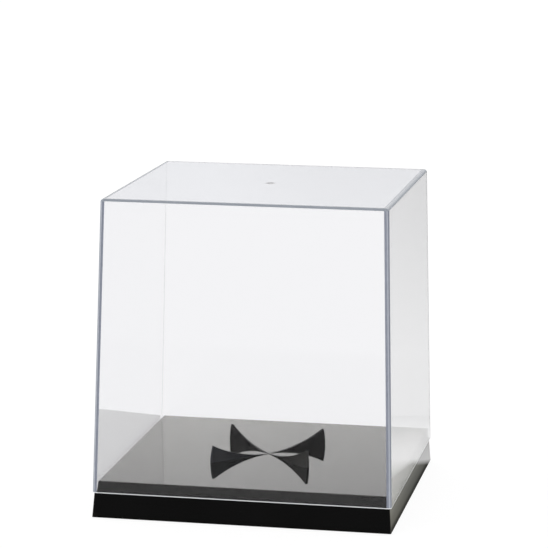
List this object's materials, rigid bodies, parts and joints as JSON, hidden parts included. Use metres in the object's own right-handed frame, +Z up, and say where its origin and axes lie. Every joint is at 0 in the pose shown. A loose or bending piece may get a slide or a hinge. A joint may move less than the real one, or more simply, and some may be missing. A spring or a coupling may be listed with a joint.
{
  "type": "football display case",
  "caption": "Clear lift-off cover over a gloss black square base with a crossed cradle that holds a football.",
  "frame": {"origin": "middle of the footprint, on the surface that the feet stand on", "axes": "+Z up, +X to the right seen from the front, front faces -Y"},
  "size_m": [0.26, 0.26, 0.277],
  "materials": {
    "clear_plastic": "gloss",
    "black_gloss_plastic": "gloss",
    "black_cradle_plastic": "gloss",
    "dark_rubber": "matte"
  },
  "bodies": {
    "base": {"base": "black_gloss_plastic", "cradle_plate_lower": "black_cradle_plastic", "cradle_plate_upper": "black_cradle_plastic", "foot_front_left": "dark_rubber", "foot_front_right": "dark_rubber", "foot_back_left": "dark_rubber", "foot_back_right": "dark_rubber"},
    "cover": {"clear_cover": "clear_plastic"}
  },
  "joints": [
    {"name": "cover_lift", "type": "slide", "parent": "base", "child": "cover", "axis": [0, 0, 1], "range_m": [0, 0.26]}
  ]
}
